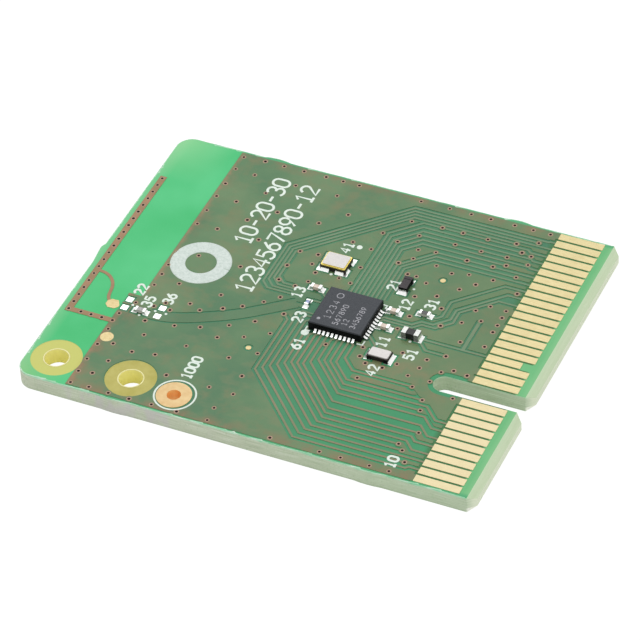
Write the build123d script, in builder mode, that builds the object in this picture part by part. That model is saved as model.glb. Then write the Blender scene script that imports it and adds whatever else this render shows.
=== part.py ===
# Plug-in radio board: a keyed circuit board with edge contacts, a printed aerial, a radio chip,
# two crystals and chip-size passives. All sizes are in millimetres.
# Places on the board are given as (u, v): u from the aerial end, v from the near long edge.
# The model's origin is the centre of the whole outline on the resting face, with +X towards the
# contact edge, +Y towards the far long edge and +Z up.
import os

from build123d import *

# Board
board_length = 43.2
board_thickness = 1.6
corner_radius = 1.5
corner_chamfer = 0.7
bevel_width = 0.7
bevel_depth = 0.4
copper_thickness = 0.04
edge_margin = 0.22
clearance = 0.18

# Stubs left where the board was broken out of its panel
stub_length = 2.6
near_stub_height = 0.08
far_stub_height = 0.18
end_stub_height = 0.2
long_edge_stubs = (9.6, 33.4)
end_edge_stub = 16.73

# Edge contacts and the key slot between their two groups
contact_pitch = 1.0
contact_gap = 0.22
contact_width = contact_pitch - contact_gap
near_contacts = 11
far_contacts = 21
key_span = 3.0
first_contact = 0.67
last_contact_edge = 0.58
contact_length = 4.2
contact_setback = 1.48
short_contact = 14
short_contact_cut = 1.0
ground_contacts = (0, 10, 11, 12, 18, 20, 31)
key_contact_gap = 0.135
key_width = key_span - contact_width - 2 * key_contact_gap
key_depth = 8.8
key_margin = 0.45

# The board's width and the contacts' ends follow from the contacts
all_contacts = near_contacts + far_contacts
board_width = first_contact + (all_contacts - 2) * contact_pitch + key_span + last_contact_edge
contact_outer = board_length - contact_setback
contact_inner = contact_outer - contact_length

# Mounting holes, with a ring around each where the laminate is bare
mounting_hole_radius = 1.075
mounting_ring_radius = 2.3
mounting_ring_depth = 0.03
mounting_end_gap = 0.4
mounting_side_gap = 0.63
first_mounting_hole = (mounting_ring_radius + mounting_end_gap, mounting_ring_radius + mounting_side_gap)
mounting_hole_pitch = 7.2

# Plated ground eyelet, beside the second mounting hole
eyelet_hole_radius = 0.625
eyelet_wall = 0.2
eyelet_pad_radius = 1.58
eyelet_edge_gap = 0.8
eyelet_from_hole = 4.4
eyelet_u = first_mounting_hole[0] + mounting_hole_pitch + eyelet_from_hole
eyelet_place = (eyelet_u, eyelet_pad_radius + eyelet_edge_gap)

# Printed aerial: a strip beside the end edge, its foot to ground and its curved feed
aerial_edge_gap = 0.52
aerial_strip_width = 0.64
aerial_foot_level = 9.03
aerial_foot_width = 0.56
aerial_tip_level = 28.33
aerial_feed_width = 0.3
aerial_feed_points = ((1.0, 14.58), (2.2, 14.28), (3.1, 13.13), (3.3, 12.13), (3.85, 11.13))
aerial_pad_place = (4.2, 11.01)
aerial_pad_size = (1.25, 1.1)
aerial_pad_corner = 0.32

# Ground copper: its end towards the aerial steps in above the level of the foot
ground_end_lower = 4.92
ground_end_upper = 6.12
ground_step_level = 12.83
smallest_island = 0.5

# Radio chip, placed from the contacts' inner ends
chip_from_contacts = 13.4
chip_u = contact_inner - chip_from_contacts
chip_v = 16.83
chip_place = (chip_u, chip_v)
chip_size = 5.0
chip_height = 0.85
chip_edge_break = 0.08
leads_per_side = 10
lead_pitch = 0.4
lead_width = 0.22
lead_length = 0.4
lead_thickness = 0.2
land_extension = 0.32
paddle_size = 3.6
paddle_cut = 0.35
solder_height = 0.18
land_outer = chip_size / 2 + land_extension

# Radio feed: its ends, the shares of the way along and across at its bends, and the lead at the chip
feed_start = (7.75, 10.98)
feed_end = (chip_u - 4.82, chip_v + 0.15)
feed_bends = ((0, 0), (0.273, 0.1), (0.463, 0.275), (0.671, 0.508), (0.835, 0.75), (1, 1))
feed_width = 1.15
feed_lead = ((chip_u - 4.92, chip_v), (chip_u - 4.1, chip_v))
feed_lead_width = 0.4

# Runs and pads
trace_width = 0.2
wide_trace_width = 0.32
bundle_clearance = 0.22
test_pad_place = (5.62, 6.92)
test_pad_radius = 0.6
target_places = ((chip_u - 6.35, chip_v - 6.66), (chip_u + 6.0, chip_v + 7.59))
target_radius = 0.25

# Larger crystal, soldered at four corner lands
crystal_place = (chip_u - 3.6, chip_v + 6.09)
crystal_size = (2.5, 2.0)
crystal_base_height = 0.4
crystal_ring_height = 0.1
crystal_ring_wall = 0.22
crystal_ring_inset = 0.08
crystal_lid_thickness = 0.08
crystal_lid_inset = 0.1
crystal_notch_radius = 0.15
crystal_corner_land = (1.1, 0.9)
crystal_land_reach = 0.22
crystal_solder_width = 0.5
crystal_solder_height = 0.24
crystal_side_solder = 0.8

# Smaller crystal, soldered at two ends
watch_place = (chip_u + 4.78, chip_v - 3.59)
watch_size = (2.0, 1.2)
watch_base_height = 0.4
watch_lid_height = 0.15
watch_lid_inset = 0.05
watch_lid_radius = 0.2
watch_cap_length = 0.4

# Chip-size parts: length, width, height and end cap length
tiny_block = (0.65, 0.38, 0.3, 0.15)
small_block = (1.0, 0.5, 0.35, 0.22)
tall_block = (1.0, 0.5, 0.4, 0.24)
bead_block = (1.6, 0.8, 0.7, 0.42)
coil_block = (1.6, 0.8, 0.6, 0.34)
watch_block = (*watch_size, watch_base_height, watch_cap_length)
cap_wall = 0.04
film_length = small_block[0] - 2 * small_block[3]
film_thickness = 0.03
land_reach = 0.3
land_side = 0.06
block_solder_share = 0.6

# Places of the chip-size parts; those laid along the board's width are marked upright
capacitors = (
    ((chip_u + 3.65, chip_v - 0.05), False),
    ((chip_u + 3.65, chip_v + 2.12), False),
    ((chip_u - 3.95, chip_v + 2.5), False),
)
resistors = (((chip_u + 6.3, chip_v + 2.8), False), ((6.95, 10.93), False))
coil = ((chip_u + 3.3, chip_v + 5.59), True)
bead = ((chip_u + 6.3, chip_v - 0.23), False)
aerial_coil = ((chip_u - 3.9, chip_v + 0.42), True)
watch_crystal = (watch_place, False)

# Lands of two parts that are not fitted: middle of each pair
empty_pairs = ((5.37, 11.49), (8.57, 11.49))
empty_pair_pitch = 1.1
empty_land = 0.6

# Values that follow from the ones above
board_top = copper_thickness + board_thickness
land_top = board_top + copper_thickness
origin_u = (board_length - end_stub_height) / 2
origin_v = (board_width + far_stub_height - near_stub_height) / 2


def level(height):
    """Plane at a height, with its origin over the board's near corner at the aerial end."""
    return Plane(origin=(-origin_u, -origin_v, height))


def on_board(place, height, turn=0):
    """Location of a (u, v) place at a height, turned about the vertical."""
    return Location((place[0] - origin_u, place[1] - origin_v, height), (0, 0, turn))


def laid(place, upright):
    """Location of a chip-size part in a sketch, turned when it is laid along the board's width."""
    return Location((*place, 0), (0, 0, 90 if upright else 0))


def by_chip(*offsets):
    """Places given from the chip's centre."""
    return [(chip_u + u, chip_v + v) for u, v in offsets]


def contact_v(index):
    """Level of a contact's centre line, contact 0 nearest the near edge."""
    step = index * contact_pitch
    if index >= near_contacts:
        step += key_span - contact_pitch
    return first_contact + step


def mounting_holes():
    """Places of the two mounting holes."""
    u, v = first_mounting_hole
    return [(u, v), (u + mounting_hole_pitch, v)]


def finished(builder, label):
    """Part with its name set."""
    builder.part.label = label
    return builder.part


# Board


def add_stubs():
    """Low humps on both long edges and a one-sided stub on the aerial end, in the current sketch."""
    for u in long_edge_stubs:
        for edge, peak in ((0, -near_stub_height), (board_width, board_width + far_stub_height)):
            with BuildLine() as hump:
                base = Line((u - stub_length / 2, edge), (u + stub_length / 2, edge))
                ThreePointArc(base @ 0, (u, peak), base @ 1)
            make_face(hump.edges())
    with BuildLine() as stub:
        Polyline(
            (0, end_edge_stub - stub_length / 2),
            (-end_stub_height, end_edge_stub + stub_length / 5),
            (-end_stub_height, end_edge_stub + stub_length / 3),
            (0, end_edge_stub + stub_length / 2),
            close=True,
        )
    make_face(stub.edges())


def cut_key_slot(margin):
    """Round-ended key slot grown by a margin, cut from the current sketch."""
    key_v = (contact_v(near_contacts - 1) + contact_v(near_contacts)) / 2
    with Locations((board_length - key_depth + key_width / 2, key_v)):
        Circle(key_width / 2 + margin, mode=Mode.SUBTRACT)
        Rectangle(board_length, key_width + 2 * margin, align=(Align.MIN, Align.CENTER), mode=Mode.SUBTRACT)


def cut_face(face, inward):
    """Bevel at the contact edge and bare rings round the holes, cut into one face of the board."""
    side = Plane(origin=(-origin_u, board_width, 0), x_dir=(1, 0, 0), z_dir=(0, -1, 0))
    with BuildSketch(side) as bevel:
        with BuildLine():
            Polyline(
                (board_length - bevel_width, face),
                (board_length + bevel_width, face),
                (board_length + bevel_width, face + inward * 2 * bevel_depth),
                close=True,
            )
        make_face()
    extrude(bevel.sketch, amount=2 * board_width, mode=Mode.SUBTRACT)
    with BuildSketch(level(face)) as rings:
        with Locations(*mounting_holes()):
            Circle(mounting_ring_radius)
    extrude(rings.sketch, amount=inward * mounting_ring_depth, mode=Mode.SUBTRACT)


def make_board():
    """Laminate with its outline, key slot, bevelled contact edge, holes and bare rings."""
    with BuildPart() as board:
        with BuildSketch(level(copper_thickness)) as outline:
            Rectangle(board_length, board_width, align=(Align.MIN, Align.MIN))
            fillet(outline.vertices().group_by(Axis.X)[0], corner_radius)
            cut_key_slot(0)
            chamfer(outline.vertices().group_by(Axis.X)[-1], corner_chamfer)
            add_stubs()
        extrude(amount=board_thickness)
        cut_face(board_top, -1)
        cut_face(copper_thickness, 1)
        with BuildSketch(level(0)):
            with Locations(*mounting_holes()):
                Circle(mounting_hole_radius)
            with Locations(eyelet_place):
                Circle(eyelet_hole_radius + eyelet_wall)
        extrude(amount=2 * board_thickness, mode=Mode.SUBTRACT)
    return finished(board, "circuit_board")


def make_eyelet():
    """Plated ground eyelet: a pad on each face joined by a thin barrel."""
    with BuildPart() as eyelet:
        with BuildSketch(level(0)):
            with Locations(eyelet_place):
                Circle(eyelet_hole_radius + eyelet_wall)
                Circle(eyelet_hole_radius, mode=Mode.SUBTRACT)
        extrude(amount=land_top)
        for height in (0, board_top):
            with BuildSketch(level(height)):
                with Locations(eyelet_place):
                    Circle(eyelet_pad_radius)
                    Circle(eyelet_hole_radius, mode=Mode.SUBTRACT)
            extrude(amount=copper_thickness)
    return finished(eyelet, "ground_eyelet")


# Copper runs: each bundle is a fan of nested paths with 45 degree turns


def lead_offset(index):
    """Distance of a terminal's centre from the middle of its side of the chip."""
    return (index - (leads_per_side - 1) / 2) * lead_pitch


def row_end(row, contact, reach):
    """Points that end a row at a via, or step it over to a contact."""
    if contact is None:
        return [(contact_inner - reach, row)]
    target = contact_v(contact)
    if abs(target - row) < trace_width / 2:
        return [(contact_inner, row)]
    step = contact_inner - reach
    return [(step, row), (step + abs(target - row), target), (contact_inner, target)]


# Near bundle, rows from the near edge up: extra gap below the row, contact or via, reach
near_row_first = 1.43
near_row_pitch = 0.62
near_drop_first = -4.7
near_drop_pitch = 0.515
near_turn = 1.8
near_turn_step = 0.3
near_turn_most = 3.2
left_drops = 5
skipped_lead = 4
near_bend = 0.3
near_via = 1.5
near_rows = (
    (0, 1, 1.2),
    (0, None, 1.5),
    (0, 2, 1.2),
    (0, None, 2.25),
    (0, None, 2.85),
    (0, 3, 2.4),
    (0, 4, 2.2),
    (0, None, 1.8),
    (0.3, 5, 2.0),
    (0.43, 6, 2.1),
    (0, None, 2.75),
    (0, 7, 2.4),
    (0, None, 3.1),
    (0.6, None, 4.55),
)


def near_start(index, drop):
    """Start of a near run: a via for the first, left terminals for four, near terminals for the rest."""
    if index == 0:
        return [(drop - 2 * near_bend, chip_v - near_via), (drop, chip_v - near_via - 2 * near_bend)]
    if index < left_drops:
        lead_v = chip_v + lead_offset(left_drops - 1 - index)
        if drop + near_bend > chip_u - land_outer:
            return [(drop, lead_v)]
        return [(chip_u - land_outer, lead_v), (drop + near_bend, lead_v), (drop, lead_v - near_bend)]
    lead = index - left_drops
    if lead >= skipped_lead:
        lead += 1
    lead_u = chip_u + lead_offset(lead)
    return [(lead_u, chip_v - land_outer), (drop, chip_v - land_outer - abs(drop - lead_u))]


def near_bundle():
    """Runs from the chip's left and near sides, down and across to the near contacts."""
    paths = []
    row = near_row_first
    for i, (gap, contact, reach) in enumerate(near_rows):
        row += gap
        drop = chip_u + near_drop_first + near_drop_pitch * i
        turn = chip_u + min(near_turn + near_turn_step * i, near_turn_most)
        path = near_start(i, drop) + [(drop, row + turn - drop), (turn, row)]
        paths.append(path + row_end(row, contact, reach))
        row += near_row_pitch
    return paths


# Far bundles: first terminal, first row below the last contact, turn from the chip, turn step, ends
far_row_pitch = 0.53
far_extra_start = 0.5
far_fans = (
    (2, 2.73, 1.4, 0.2, ((28, 1.9), (None, 2.3), (27, 1.2), (None, 3.3), (26, 1.0), (None, 2.95))),
    (8, 5.99, 4.2, 0.0, ((25, 1.0), (None, 1.55), (24, 1.2))),
)


def far_bundle(first, below, turn_offset, turn_step, ends):
    """Runs from the chip's far side, up and across to the far contacts."""
    paths = []
    for k, (contact, reach) in enumerate(ends):
        rise = chip_u + lead_offset(first + k)
        start = chip_v + land_outer + (far_extra_start if first + k >= leads_per_side else 0)
        row = contact_v(all_contacts - 1) - below - far_row_pitch * k
        turn = chip_u + turn_offset + turn_step * k
        path = [(rise, start), (rise, row - (turn - rise)), (turn, row)]
        paths.append(path + row_end(row, contact, reach))
    return paths


# Outer bundle: passes left of the larger crystal and across to the last contacts
outer_floor = chip_v + 1.1
outer_pitch = 0.36
outer_start = chip_u - 5.82
outer_rise = chip_u - 8.82
outer_bend = 0.7
outer_turn = chip_u - 0.12
outer_turn_step = 0.15
outer_row = board_width - 1.68
outer_row_pitch = 0.41
outer_ends = ((30, 0.6), (None, 1.4), (29, 1.0), (None, 3.2))


def outer_bundle():
    """Four runs round the larger crystal to the far contacts."""
    paths = []
    for k, (contact, reach) in enumerate(outer_ends):
        floor = outer_floor + outer_pitch * k
        rise = outer_rise + outer_pitch * k
        row = outer_row - outer_row_pitch * k
        turn = outer_turn + outer_turn_step * k
        corner = [(rise + outer_bend, floor), (rise, floor + outer_bend)]
        climb = [(rise, row - (turn - rise)), (turn, row)]
        paths.append([(outer_start, floor)] + corner + climb + row_end(row, contact, reach))
    return paths


# Right bundle: leaves between two capacitors, passes under the small resistor and climbs
right_leads = (6, 7)
right_contacts = (21, 22)
right_floor = chip_v + 0.9
right_pitch = 0.36
right_step = chip_u + 5.88
right_lift = 0.65
right_wall = chip_u + 8.98
right_corner = 1.2
right_climb = chip_v + 4.2


def right_bundle():
    """Two nested runs from the chip's right side to the middle contacts."""
    paths = []
    for k, lead in enumerate(right_leads):
        lead_v = chip_v + lead_offset(lead)
        low = right_floor + right_pitch * k
        high = low + right_lift
        step = right_step - right_pitch * k / 2
        wall = right_wall - right_pitch * k
        climb = right_climb + right_pitch * k / 2
        target = contact_v(right_contacts[k])
        path = [(chip_u + land_outer, lead_v), (chip_u + land_outer + abs(low - lead_v), low)]
        path += [(step, low), (step + right_lift, high), (wall - right_corner, high)]
        path += [(wall, high + right_corner), (wall, climb), (wall + target - climb, target)]
        paths.append(path + [(contact_inner, target)])
    return paths


# Single runs near the parts, given from the chip's centre
short_run_start = 7.08
bead_run = ((7.28, -0.6), (8.08, -1.4), (10.08, -1.4))
resistor_run = ((6.88, 2.8), (7.38, 2.8), (7.78, 3.2), (7.78, 5.2))
resistor_contact = 23
capacitor_run = ((-3.42, 2.4), (-land_outer, 1.8))
coil_run = ((-3.68, 1.0), (-land_outer, 1.0))
crystal_run = ((land_outer, -1.4), (3.78, -2.36), (3.78, -3.2))
branch_from_chip = (11.1, 3.89)


def single_runs():
    """Single runs between the parts, and from the bead and the small resistor to their contacts."""
    row = contact_v(short_contact)
    climb = by_chip(*resistor_run)
    target = contact_v(resistor_contact)
    u, v = climb[-1]
    return [
        [(chip_u + short_run_start, row), (contact_inner, row)],
        climb + [(u + target - v, target), (contact_inner, target)],
        by_chip(*bead_run),
        by_chip(*capacitor_run),
        by_chip(*coil_run),
        by_chip(*crystal_run),
    ]


def branch_run():
    """Wider run that stands on the short contact's run."""
    (top,) = by_chip(branch_from_chip)
    return [(top[0], contact_v(short_contact)), top]


def bundles():
    """All bundles of nested runs."""
    return [near_bundle(), outer_bundle(), right_bundle()] + [far_bundle(*fan) for fan in far_fans]


def draw_run(points, width, mode=Mode.ADD):
    """One run of a given width along straight pieces, in the current sketch."""
    with BuildLine() as line:
        Polyline(*points)
    trace(line.edges(), width, mode=mode)


def draw_curve(points, tangents, width, mode=Mode.ADD):
    """One run of a given width along a smooth curve, in the current sketch."""
    with BuildLine() as line:
        Spline(*points, tangents=tangents)
    trace(line.edges(), width, mode=mode)


def draw_feed(grow, mode=Mode.ADD):
    """Wide curved radio feed and its short lead, grown by a margin on both sides."""
    run, rise = feed_end[0] - feed_start[0], feed_end[1] - feed_start[1]
    bends = [Vector(feed_start[0] + run * a, feed_start[1] + rise * b) for a, b in feed_bends]
    middle = Edge.make_spline(bends)
    half = feed_width / 2 + grow
    sides = ([], [])
    for step in range(len(feed_bends)):
        spot = step / (len(feed_bends) - 1)
        along = middle % spot
        across = Vector(-along.Y, along.X) * half
        sides[0].append(middle @ spot + across)
        sides[1].append(middle @ spot - across)
    with BuildLine() as outline:
        upper = Spline(*sides[0])
        lower = Spline(*sides[1])
        Line(upper @ 0, lower @ 0)
        Line(upper @ 1, lower @ 1)
    make_face(outline.edges(), mode=mode)
    draw_run(feed_lead, feed_lead_width + 2 * grow, mode)


# Lands and pads


def fitted_blocks():
    """Every chip-size part as (block, place, upright)."""
    parts = [(tall_block, *item) for item in capacitors]
    parts += [(small_block, *item) for item in resistors]
    parts += [(coil_block, *coil), (bead_block, *bead)]
    parts += [(tiny_block, *aerial_coil), (watch_block, *watch_crystal)]
    return parts


def draw_block_lands(block, place, upright, grow, mode):
    """Two solder lands of a chip-size part, in the current sketch."""
    length, width, height, cap = block
    with Locations(laid(place, upright)):
        with GridLocations(length - cap + land_reach, 1, 2, 1):
            Rectangle(cap + land_reach + 2 * grow, width + 2 * (land_side + grow), mode=mode)


def draw_lands(grow, mode=Mode.ADD):
    """Lands of every fitted part except the chip's paddle, in the current sketch."""
    for block, place, upright in fitted_blocks():
        draw_block_lands(block, place, upright, grow, mode)
    spans = [size + 2 * crystal_land_reach for size in crystal_size]
    length, width = crystal_corner_land
    with Locations(crystal_place):
        with GridLocations(spans[0] - length, spans[1] - width, 2, 2):
            Rectangle(length + 2 * grow, width + 2 * grow, mode=mode)
    length = lead_length + land_extension
    for side in range(4):
        with Locations(Location((*chip_place, 0), (0, 0, 90 * side))):
            with Locations((land_outer - length / 2, 0)):
                with GridLocations(1, lead_pitch, 1, leads_per_side):
                    Rectangle(length + 2 * grow, lead_width + 2 * grow, mode=mode)


def draw_empty_lands(grow, mode=Mode.ADD):
    """Four lands of the parts that are not fitted, in the current sketch."""
    for place in empty_pairs:
        with Locations(place):
            with GridLocations(1, empty_pair_pitch, 1, 2):
                Rectangle(empty_land + 2 * grow, empty_land + 2 * grow, mode=mode)


def draw_test_pads(grow, mode=Mode.ADD):
    """Round test pad and, grown by a margin, the two targets, in the current sketch."""
    with Locations(test_pad_place):
        Circle(test_pad_radius, mode=mode)
    with Locations(*target_places):
        Circle(target_radius + grow, mode=mode)


def draw_aerial_pad(mode=Mode.ADD):
    """Gold pad with cut corners where the aerial meets its series part."""
    width, depth = (size / 2 for size in aerial_pad_size)
    cut = aerial_pad_corner
    with Locations(aerial_pad_place):
        Polygon(
            (-width, cut - depth),
            (cut - width, -depth),
            (width - cut, -depth),
            (width, cut - depth),
            (width, 0),
            (width - cut, depth),
            (cut - width, depth),
            (-width, depth - cut),
            align=None,
            mode=mode,
        )


def make_copper(label, height, draw):
    """Flat copper piece at a height from a function that draws its outline."""
    with BuildPart() as copper:
        with BuildSketch(level(height)):
            draw()
        extrude(amount=copper_thickness)
    return finished(copper, label)


def draw_contacts(first, count):
    """One group of edge contacts, in the current sketch."""
    for index in range(first, first + count):
        cut = short_contact_cut if index == short_contact else 0
        with Locations((contact_inner, contact_v(index))):
            Rectangle(contact_length - cut, contact_width, align=(Align.MIN, Align.CENTER))


def draw_signal_runs():
    """Every narrow run on the top face, in the current sketch."""
    for paths in bundles():
        for path in paths:
            draw_run(path, trace_width)
    for points in single_runs():
        draw_run(points, trace_width)
    draw_run(branch_run(), wide_trace_width)
    draw_lands(0, Mode.SUBTRACT)


def draw_radio_feed():
    """Radio feed between the aerial parts' lands and the aerial coil's land."""
    draw_feed(0)
    draw_lands(0, Mode.SUBTRACT)
    draw_empty_lands(0, Mode.SUBTRACT)


def draw_aerial():
    """Printed aerial: end strip, foot into the ground copper and curved feed."""
    foot_v = aerial_foot_level - aerial_foot_width / 2
    with Locations((aerial_edge_gap, foot_v)):
        Rectangle(aerial_strip_width, aerial_tip_level - foot_v, align=(Align.MIN, Align.MIN))
        Rectangle(ground_end_lower - aerial_edge_gap, aerial_foot_width, align=(Align.MIN, Align.MIN))
    draw_curve(aerial_feed_points, ((1, 0), (1, -1)), aerial_feed_width)
    draw_aerial_pad(Mode.SUBTRACT)


# Ground copper


def draw_ground_outline():
    """Ground copper clear of the aerial, the key slot and the holes, tied to some contacts."""
    right = contact_inner - contact_gap
    with BuildLine() as outline:
        Polyline(
            (ground_end_lower, edge_margin),
            (right, edge_margin),
            (right, board_width - edge_margin),
            (ground_end_upper, board_width - edge_margin),
            (ground_end_upper, ground_step_level),
            (ground_end_lower, ground_step_level),
            close=True,
        )
    make_face(outline.edges())
    cut_key_slot(key_margin)
    with Locations(*mounting_holes()):
        Circle(mounting_ring_radius + copper_thickness, mode=Mode.SUBTRACT)
    with Locations(eyelet_place):
        Circle(eyelet_pad_radius + clearance, mode=Mode.SUBTRACT)


def tie_contacts():
    """Short ties from the ground copper to the grounded contacts, in the current sketch."""
    for index in ground_contacts:
        with Locations((contact_inner - 2 * contact_gap, contact_v(index))):
            Rectangle(2 * contact_gap, contact_width, align=(Align.MIN, Align.CENTER))


def clear_bundles():
    """Space for every bundle, and no ground copper in the near bundle's wider gaps."""
    for paths in bundles():
        for path in paths:
            draw_run(path, trace_width + 2 * bundle_clearance, Mode.SUBTRACT)
    paths = [[point for point in path if point[0] < contact_inner] for path in near_bundle()]
    for k, (gap, contact, reach) in enumerate(near_rows):
        if gap:
            with BuildLine() as loop:
                Polyline(*paths[k - 1], *reversed(paths[k]), close=True)
            make_face(loop.edges(), mode=Mode.SUBTRACT)


def clear_single_copper():
    """Space round the single runs, the radio feed, the lands and the chip."""
    for points in single_runs():
        draw_run(points, trace_width + 2 * clearance, Mode.SUBTRACT)
    draw_run(branch_run(), wide_trace_width + 2 * clearance, Mode.SUBTRACT)
    draw_feed(clearance, Mode.SUBTRACT)
    draw_lands(clearance, Mode.SUBTRACT)
    draw_empty_lands(clearance, Mode.SUBTRACT)
    draw_test_pads(clearance, Mode.SUBTRACT)
    with Locations(chip_place):
        Rectangle(chip_size, chip_size, mode=Mode.SUBTRACT)


def make_ground_top():
    """Ground copper of the top face, cut clear of every run, land and pad."""
    with BuildPart() as ground:
        with BuildSketch(level(board_top)) as sheet:
            draw_ground_outline()
            clear_bundles()
            clear_single_copper()
            tie_contacts()
        large = [face for face in sheet.sketch.faces() if face.area > smallest_island]
        extrude(to_extrude=large, amount=copper_thickness)
    return finished(ground, "ground_copper_top")


def draw_ground_bottom():
    """Ground copper of the bottom face, in the current sketch."""
    draw_ground_outline()
    tie_contacts()


# Radio chip


def draw_terminals():
    """Forty chip terminals, flush with the chip's sides, in the current sketch."""
    for side in range(4):
        with Locations(Location((*chip_place, 0), (0, 0, 90 * side))):
            with Locations(((chip_size - lead_length) / 2, 0)):
                with GridLocations(1, lead_pitch, 1, leads_per_side):
                    Rectangle(lead_length, lead_width)


def draw_paddle():
    """Square paddle with one corner cut to mark the first terminal, in the current sketch."""
    half = paddle_size / 2
    with Locations(chip_place):
        Polygon(
            (-half, paddle_cut - half),
            (paddle_cut - half, -half),
            (half, -half),
            (half, half),
            (-half, half),
            align=None,
        )


def make_chip_body():
    """Moulded chip body with pockets for its terminals and paddle."""
    with BuildPart() as body:
        with BuildSketch(level(land_top)):
            with Locations(chip_place):
                Rectangle(chip_size, chip_size)
        extrude(amount=chip_height)
        chamfer(body.faces().sort_by(Axis.Z)[-1].edges(), chip_edge_break)
        with BuildSketch(level(land_top)):
            draw_terminals()
            draw_paddle()
        extrude(amount=lead_thickness, mode=Mode.SUBTRACT)
    return finished(body, "chip_body")


def make_chip_metal(label, draw):
    """Chip terminals or paddle."""
    with BuildPart() as metal:
        with BuildSketch(level(land_top)):
            draw()
        extrude(amount=lead_thickness)
    return finished(metal, label)


def add_solder(location, reach, height, width):
    """Hollow solder fillet that stands against a wall at a location and runs out along local x."""
    section = Plane(location * Location((0, width / 2, 0), (90, 0, 0)))
    with BuildSketch(section) as wedge:
        with BuildLine():
            foot = Line((0, 0), (reach, 0))
            slope = RadiusArc(foot @ 1, (0, height), 1.5 * max(reach, height))
            Line(slope @ 1, foot @ 0)
        make_face()
    extrude(wedge.sketch, amount=width)


def make_chip_solder():
    """Solder fillet at the toe of every chip terminal."""
    with BuildPart() as solder:
        for side in range(4):
            for index in range(leads_per_side):
                toe = Location((chip_size / 2, lead_offset(index), 0))
                wall = on_board(chip_place, land_top, 90 * side) * toe
                add_solder(wall, land_extension, solder_height, lead_width)
    return finished(solder, "chip_solder")


# Chip-size parts


def draw_core(block, place, upright):
    """Outline of a chip-size part's core inside its end caps, in the current sketch."""
    length, width = block[:2]
    with Locations(laid(place, upright)):
        Rectangle(length - 2 * cap_wall, width - 2 * cap_wall)


def make_cores(label, block, items, crown=0.0):
    """Cores of one kind of chip-size part; the crown raises them above the caps' inner top."""
    with BuildPart() as cores:
        with BuildSketch(level(land_top + cap_wall)):
            for place, upright in items:
                draw_core(block, place, upright)
        extrude(amount=block[2] - 2 * cap_wall + crown)
    return finished(cores, label)


def make_end_caps(label, block, items, crown=0.0):
    """Two end caps wrapped round the ends of every part of one kind."""
    length, width, height, cap = block
    with BuildPart() as caps:
        with BuildSketch(level(land_top)):
            for place, upright in items:
                with Locations(laid(place, upright)):
                    with GridLocations(length - cap, 1, 2, 1):
                        Rectangle(cap, width)
        extrude(amount=height)
        with BuildSketch(level(land_top + cap_wall)):
            for place, upright in items:
                draw_core(block, place, upright)
        extrude(amount=height - 2 * cap_wall + crown, mode=Mode.SUBTRACT)
    return finished(caps, label)


def make_films():
    """Dark film on top of each resistor between its end caps."""
    with BuildPart() as films:
        with BuildSketch(level(land_top + small_block[2] - cap_wall)):
            for place, upright in resistors:
                with Locations(laid(place, upright)):
                    Rectangle(film_length, small_block[1] - 2 * cap_wall)
        extrude(amount=film_thickness)
    return finished(films, "resistor_films")


def make_part_solder():
    """Solder fillet at both ends of every chip-size part."""
    with BuildPart() as solder:
        for block, place, upright in fitted_blocks():
            length, width, height = block[:3]
            for turn in (0, 180):
                end = Location((0, 0, 0), (0, 0, turn)) * Location((length / 2, 0, 0))
                wall = on_board((0, 0), land_top) * laid(place, upright) * end
                add_solder(wall, land_reach, height * block_solder_share, width)
    return finished(solder, "part_solder")


# Crystals


def draw_crystal_plate(inset, mode=Mode.ADD):
    """Round-cornered plate inset from the larger crystal's sides, in the current sketch."""
    with Locations(crystal_place):
        sides = [size - 2 * inset for size in crystal_size]
        RectangleRounded(*sides, crystal_notch_radius, mode=mode)


def make_crystal_base():
    """Ceramic base of the larger crystal with notched corners and a raised middle."""
    with BuildPart() as base:
        with BuildSketch(level(land_top)):
            with Locations(crystal_place):
                Rectangle(*crystal_size)
                with GridLocations(*crystal_size, 2, 2):
                    Circle(crystal_notch_radius, mode=Mode.SUBTRACT)
        extrude(amount=crystal_base_height)
        with BuildSketch(level(land_top + crystal_base_height)):
            draw_crystal_plate(crystal_ring_inset + crystal_ring_wall)
        extrude(amount=crystal_ring_height)
    return finished(base, "crystal_base")


def make_crystal_ring():
    """Gold seal ring between the larger crystal's base and lid."""
    with BuildPart() as ring:
        with BuildSketch(level(land_top + crystal_base_height)):
            draw_crystal_plate(crystal_ring_inset)
            draw_crystal_plate(crystal_ring_inset + crystal_ring_wall, Mode.SUBTRACT)
        extrude(amount=crystal_ring_height)
    return finished(ring, "crystal_seal_ring")


def make_crystal_lid():
    """Metal lid of the larger crystal."""
    with BuildPart() as lid:
        with BuildSketch(level(land_top + crystal_base_height + crystal_ring_height)):
            draw_crystal_plate(crystal_ring_inset + crystal_lid_inset)
        extrude(amount=crystal_lid_thickness)
    return finished(lid, "crystal_lid")


def make_crystal_solder():
    """Solder fillets at each corner land of the larger crystal, on its end and its long side."""
    length, width = crystal_size
    beside_end = (width - crystal_corner_land[1]) / 2
    beside_side = (length - crystal_corner_land[0]) / 2
    with BuildPart() as solder:
        for turn in (0, 180):
            for side in (-1, 1):
                for reach, offset, angle, span in (
                    (length / 2, beside_end, turn, crystal_solder_width),
                    (width / 2, beside_side, turn + 90, crystal_side_solder),
                ):
                    wall = on_board(crystal_place, land_top, angle) * Location((reach, side * offset, 0))
                    add_solder(wall, crystal_land_reach, crystal_solder_height, span)
    return finished(solder, "crystal_solder")


def make_watch_lid():
    """Metal lid of the smaller crystal with rounded edges."""
    with BuildPart() as lid:
        with BuildSketch(level(land_top + watch_base_height)):
            with Locations(watch_place):
                sides = [size - 2 * watch_lid_inset for size in watch_size]
                RectangleRounded(*sides, watch_lid_radius)
        extrude(amount=watch_lid_height)
        chamfer(lid.faces().sort_by(Axis.Z)[-1].edges(), watch_lid_inset)
    return finished(lid, "small_crystal_lid")


# Every piece


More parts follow.
